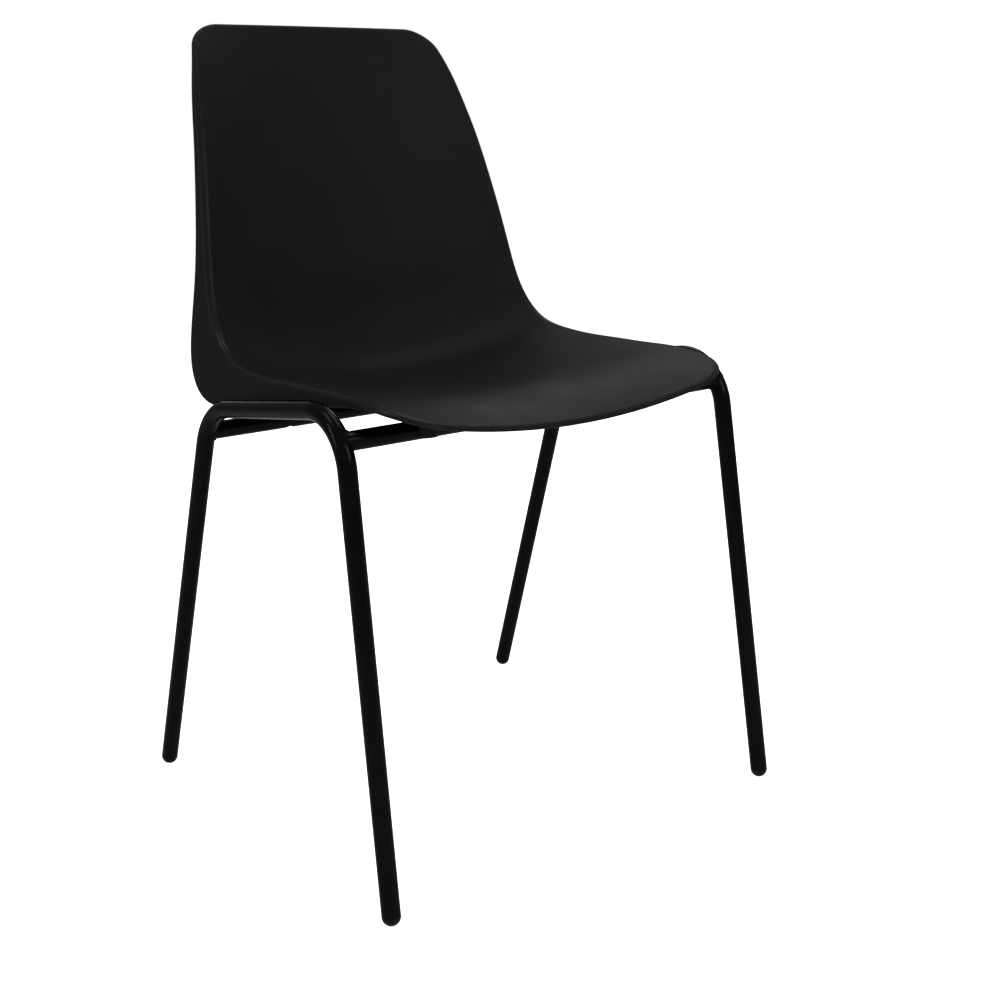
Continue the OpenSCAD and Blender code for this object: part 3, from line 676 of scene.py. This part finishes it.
def weld_tree():
    """Lays overlapping ripples of weld metal along a closed line, over a plain core."""
    # The core's radius as a share of the bead's, and the least and most that a ripple is scaled
    core_share, least, most = 0.86, (0.96, 0.96, 0.50), (1.04, 1.04, 0.62)
    tree, names, given = new_tree("weld_ripples", [
        ("Bead radius", "NodeSocketFloat"), ("Ripple pitch", "NodeSocketFloat"),
        ("Finish", "NodeSocketMaterial")])
    line = node(tree, "GeometryNodeMeshToCurve", links={"Mesh": (given, "Geometry")})
    paced = node(tree, "GeometryNodeResampleCurve", links={
        "Curve": (line, "Curve"), "Length": (given, "Ripple pitch")}, mode="LENGTH")
    core_r = node(tree, "ShaderNodeMath", {1: core_share}, {0: (given, "Bead radius")},
                  operation="MULTIPLY")
    ring = node(tree, "GeometryNodeCurvePrimitiveCircle", {"Resolution": 16},
                {"Radius": (core_r, "Value")}, mode="RADIUS")
    core = node(tree, "GeometryNodeCurveToMesh", links={"Curve": (paced, "Curve"),
                "Profile Curve": (ring, "Curve")})
    drop = node(tree, "GeometryNodeMeshUVSphere", {"Segments": 16, "Rings": 10},
                {"Radius": (given, "Bead radius")})
    heading = node(tree, "GeometryNodeInputTangent")
    turned = node(tree, "FunctionNodeAlignRotationToVector", links={"Vector": (heading, "Tangent")},
                  axis="Z")
    flattened = node(tree, "FunctionNodeRandomValue", {0: least, 1: most, "Seed": 7},
                     data_type="FLOAT_VECTOR")
    ripples = node(tree, "GeometryNodeInstanceOnPoints", links={
        "Points": (paced, "Curve"), "Instance": (drop, "Mesh"), "Rotation": (turned, "Rotation"),
        "Scale": (flattened, 0)})
    both = node(tree, "GeometryNodeJoinGeometry", links={"Geometry": (core, "Mesh")})
    tree.links.new(ripples.outputs["Instances"], both.inputs["Geometry"])
    end_tree(tree, given, both, "Geometry")
    return tree, names


def grown(guide, tree, names, settings, name):
    """Plain mesh that a tree makes from a guide."""
    step = guide.modifiers.new("grow", "NODES")
    step.node_group = tree
    for label, value in settings.items():
        step[names[label]] = value
    guide.update_tag()
    return applied(guide, name)


def guide_line(name, points, closed=False, bend_radii=None):
    """Bare edges through points in millimetres, for a node tree to build on."""
    mesh = bpy.data.meshes.new(name)
    edges = [(i, i + 1) for i in range(len(points) - 1)]
    if closed:
        edges.append((len(points) - 1, 0))
    mesh.from_pydata([tuple(MM * float(c) for c in p) for p in points], edges, [])
    if bend_radii is not None:
        mesh.attributes.new("bend_radius", "FLOAT", "POINT").data.foreach_set(
            "value", [MM * r for r in bend_radii])
    piece = bpy.data.objects.new(name, mesh)
    bpy.context.collection.objects.link(piece)
    return piece


# ---------------------------------------------------------------- side frames

tube_tree, tube_inputs = bent_tube_tree()
for side, word in ((LEFT, "left"), (RIGHT, "right")):
    guide = guide_line("bend_line", frame_corners(side), bend_radii=(0, FRONT_BEND_R, REAR_BEND_R, 0))
    tube = grown(guide, tube_tree, tube_inputs, {
        "Tube radius": TUBE_R * MM, "Steps round": TUBE_STEPS, "Steps in a bend": BEND_STEPS,
        "Finish": tube_finish}, word + "_bent_tube")
    sharp_creases(tube, degrees=50)
    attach(tube, "root")
    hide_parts(word + "_side_frame")


# ---------------------------------------------------------------- weld beads

def joint_line(side, end, steps=120):
    """Closed line where a cross rail's surface meets a side frame's, seen from inside the chair."""
    rail_y, rail_z = RAILS[end]
    line = bent_line(side)
    points = []
    for a in np.linspace(0, 2 * math.pi, steps, endpoint=False):
        y, z = rail_y + TUBE_R * math.cos(a), rail_z + TUBE_R * math.sin(a)
        near, far = JOINT_NEAR, JOINT_FAR
        for _ in range(30):
            x = (near + far) / 2
            if distance_to_line(np.array([side * x, y, z]), line) > TUBE_R:
                near = x
            else:
                far = x
        # The bead's middle is sunk a little in the corner between the two tubes
        points.append((side * (near + BEAD_SINK), y - BEAD_SINK * math.cos(a),
                       z - BEAD_SINK * math.sin(a)))
    return points


ripple_tree, ripple_inputs = weld_tree()
for side, side_word in ((LEFT, "left"), (RIGHT, "right")):
    for end, end_word in ((FRONT, "front"), (REAR, "rear")):
        guide = guide_line("joint_line", joint_line(side, end), closed=True)
        bead = grown(guide, ripple_tree, ripple_inputs, {
            "Bead radius": BEAD_R * MM, "Ripple pitch": RIPPLE_PITCH * MM, "Finish": weld_finish},
            "weld_bead_" + end_word + "_" + side_word)
        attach(bead, "root")
        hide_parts("weld_" + end_word + "_" + side_word)


# ---------------------------------------------------------------- glides

def turned(foot, axis, profile, steps=TUBE_STEPS):
    """Solid of revolution about an axis through foot: the profile gives radius and height on it."""
    axis = unit(axis)
    side = unit(np.cross(axis, [1.0, 0.0, 0.0]))
    other = np.cross(axis, side)
    points, faces = [], []
    for radius, height in profile:
        if radius == 0:
            points.append(foot + axis * height)
            continue
        for a in np.linspace(0, 2 * math.pi, steps, endpoint=False):
            points.append(foot + axis * height + radius * (math.cos(a) * side + math.sin(a) * other))
    starts, at = [], 0
    for radius, _ in profile:
        starts.append(at)
        at += 1 if radius == 0 else steps
    for k in range(len(profile) - 1):
        for i in range(steps):
            n = (i + 1) % steps
            a, b = profile[k][0] == 0, profile[k + 1][0] == 0
            if a:
                faces.append((starts[k], starts[k + 1] + i, starts[k + 1] + n))
            elif b:
                faces.append((starts[k] + i, starts[k + 1], starts[k] + n))
            else:
                faces.append((starts[k] + i, starts[k + 1] + i, starts[k + 1] + n, starts[k] + n))
    return points, faces


def domed_glide(side, end):
    """Domed glide: a narrow rim under the tube's end, then a dome worn flat where it stands."""
    p = frame_corners(side)
    foot, corner = (p[0], p[1]) if end == FRONT else (p[3], p[2])
    axis = unit(corner - foot)
    neck, dome_lines = TUBE_R - TUBE_WALL - STEM_PLAY, 22
    rim_top, dome_top = GLIDE_RIM[0][1], GLIDE_RIM[-1][1]
    profile = [(0, STEM_H), (neck, STEM_H), (neck, rim_top)]
    profile += [(TUBE_R - narrower, height) for narrower, height in GLIDE_RIM]
    for a in np.linspace(math.asin(-dome_top / TUBE_R), math.pi / 2, dome_lines)[1:-1]:
        profile.append((TUBE_R * math.cos(a), -TUBE_R * math.sin(a)))
    profile.append((0, -TUBE_R))
    points, faces = turned(foot, axis, profile)
    points = [(x, y, max(z, 0.0)) for x, y, z in points]
    return outward(new_mesh("domed_glide", points, faces))


for side, side_word in ((LEFT, "left"), (RIGHT, "right")):
    for end, end_word in ((FRONT, "front"), (REAR, "rear")):
        glide = domed_glide(side, end)
        glide.name = "domed_glide_" + end_word + "_" + side_word
        sharp_creases(glide, degrees=40)
        dress(glide, glide_finish)
        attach(glide, "root")
        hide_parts("glide_" + end_word + "_" + side_word)


# ---------------------------------------------------------------- nodes that keep their CAD shape

for end_word in ("front", "rear"):
    dress(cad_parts[end_word + "_cross_rail"], tube_finish)
    for side_word in ("left", "right"):
        dress(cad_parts["screw_" + end_word + "_" + side_word], screw_finish)
        dress(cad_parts["washer_" + end_word + "_" + side_word], washer_finish)


# ---------------------------------------------------------------- studio

# Light that the paper adds where it is seen as the background, and the world's level elsewhere
PAPER_LIFT, WORLD_LEVEL = 0.90, 0.18
FLOOR_REACH = 9000


def background_rays(tree):
    """1 for rays that see the background itself, straight, in a gloss or through glass, else 0."""
    ray = node(tree, "ShaderNodeLightPath")
    seen = node(tree, "ShaderNodeMath", links={0: (ray, "Is Camera Ray"), 1: (ray, "Is Glossy Ray")},
                operation="MAXIMUM")
    return node(tree, "ShaderNodeMath", links={0: (seen, "Value"), 1: (ray, "Is Transmission Ray")},
                operation="MAXIMUM")


def studio_white():
    """Matt white paper roll. The camera sees it as clean white, and it still takes a soft shadow."""
    material, tree = new_finish("studio_white_paper")
    lift = node(tree, "ShaderNodeMath", {1: PAPER_LIFT}, {0: (background_rays(tree), "Value")},
                operation="MULTIPLY")
    paper = node(tree, "ShaderNodeBsdfDiffuse", {"Color": linear("#e9e9e9"), "Roughness": 0.6})
    glow = node(tree, "ShaderNodeEmission", {"Color": linear("#ffffff")}, {"Strength": (lift, "Value")})
    both = node(tree, "ShaderNodeAddShader", links={0: (paper, "BSDF"), 1: (glow, "Emission")})
    node(tree, "ShaderNodeOutputMaterial", links={"Surface": (both, "Shader")})
    return material


def studio_world():
    """World that is white to look at and gives the chair a low, even light."""
    world = bpy.data.worlds.new("studio")
    world.use_nodes = True
    tree = world.node_tree
    tree.nodes.clear()
    level = node(tree, "ShaderNodeMapRange", {"To Min": WORLD_LEVEL, "To Max": 1.0},
                 {"Value": (background_rays(tree), "Value")})
    sky = node(tree, "ShaderNodeBackground", {"Color": linear("#ffffff")},
               {"Strength": (level, "Result")})
    node(tree, "ShaderNodeOutputWorld", links={"Surface": (sky, "Background")})
    return world


floor = new_mesh("paper_floor", [(-FLOOR_REACH, -FLOOR_REACH, 0), (FLOOR_REACH, -FLOOR_REACH, 0),
                                 (FLOOR_REACH, FLOOR_REACH, 0), (-FLOOR_REACH, FLOOR_REACH, 0)],
                 [(0, 1, 2, 3)], smooth=False)
dress(floor, studio_white())
bpy.context.scene.world = studio_world()


def soft_box(name, place, target, width, height, watts):
    """Rectangular lamp that faces a target."""
    lamp = bpy.data.lights.new(name, "AREA")
    lamp.shape, lamp.size, lamp.size_y, lamp.energy = "RECTANGLE", width, height, watts
    box = bpy.data.objects.new(name, lamp)
    box.location = place
    box.rotation_euler = (Vector(target) - Vector(place)).to_track_quat("-Z", "Y").to_euler()
    bpy.context.collection.objects.link(box)


CHAIR_MIDDLE, FRONT_BEND = (0.0, 0.0, 0.43), (-0.2, -0.1, 0.42)
# Place, what the lamp faces, its width and height in metres, and its power in watts. The rear lamp
# shows the form of the back from behind, and the left strip draws a line along the front bend
for name, place, target, width, height, watts in (
        ("front_softbox", (0.55, -1.85, 1.5), CHAIR_MIDDLE, 0.8, 0.8, 27),
        ("top_softbox", (0.7, 0.1, 2.2), CHAIR_MIDDLE, 1.0, 0.8, 22),
        ("left_top_softbox", (-0.75, 0.2, 2.2), CHAIR_MIDDLE, 0.7, 0.7, 16),
        ("rear_right_softbox", (1.37, 1.07, 1.60), CHAIR_MIDDLE, 0.6, 0.5, 13),
        ("rear_softbox", (0.45, 2.2, 1.5), CHAIR_MIDDLE, 0.9, 0.9, 24),
        ("left_strip", (-1.80, 0.33, 1.12), FRONT_BEND, 0.10, 0.85, 16)):
    soft_box(name, place, target, width, height, watts)

# Camera at the photograph's angle: heading from +Y towards +X, downward tilt and roll, in radians,
# its place in metres, and its lens and sensor in millimetres
HEADING, TILT, ROLL = 0.64975, 0.24727, 0.02521
CAMERA_PLACE = (-0.79395, -1.12800, 0.63234)
LENS_LENGTH, SENSOR_WIDTH = 52.035, 36.0
ahead = Vector((math.sin(HEADING) * math.cos(TILT), math.cos(HEADING) * math.cos(TILT), -math.sin(TILT)))
level_right = Vector((math.cos(HEADING), -math.sin(HEADING), 0.0))
level_up = level_right.cross(ahead)
right = math.cos(ROLL) * level_right - math.sin(ROLL) * level_up
up = math.sin(ROLL) * level_right + math.cos(ROLL) * level_up
lens = bpy.data.cameras.new("studio_camera")
lens.sensor_width, lens.lens, lens.clip_start, lens.clip_end = SENSOR_WIDTH, LENS_LENGTH, 0.01, 100.0
camera = bpy.data.objects.new("studio_camera", lens)
camera.matrix_world = Matrix((
    (right.x, up.x, -ahead.x, CAMERA_PLACE[0]), (right.y, up.y, -ahead.y, CAMERA_PLACE[1]),
    (right.z, up.z, -ahead.z, CAMERA_PLACE[2]), (0, 0, 0, 1)))
bpy.context.collection.objects.link(camera)
bpy.context.scene.camera = camera
bpy.context.scene.view_settings.view_transform = "Standard"
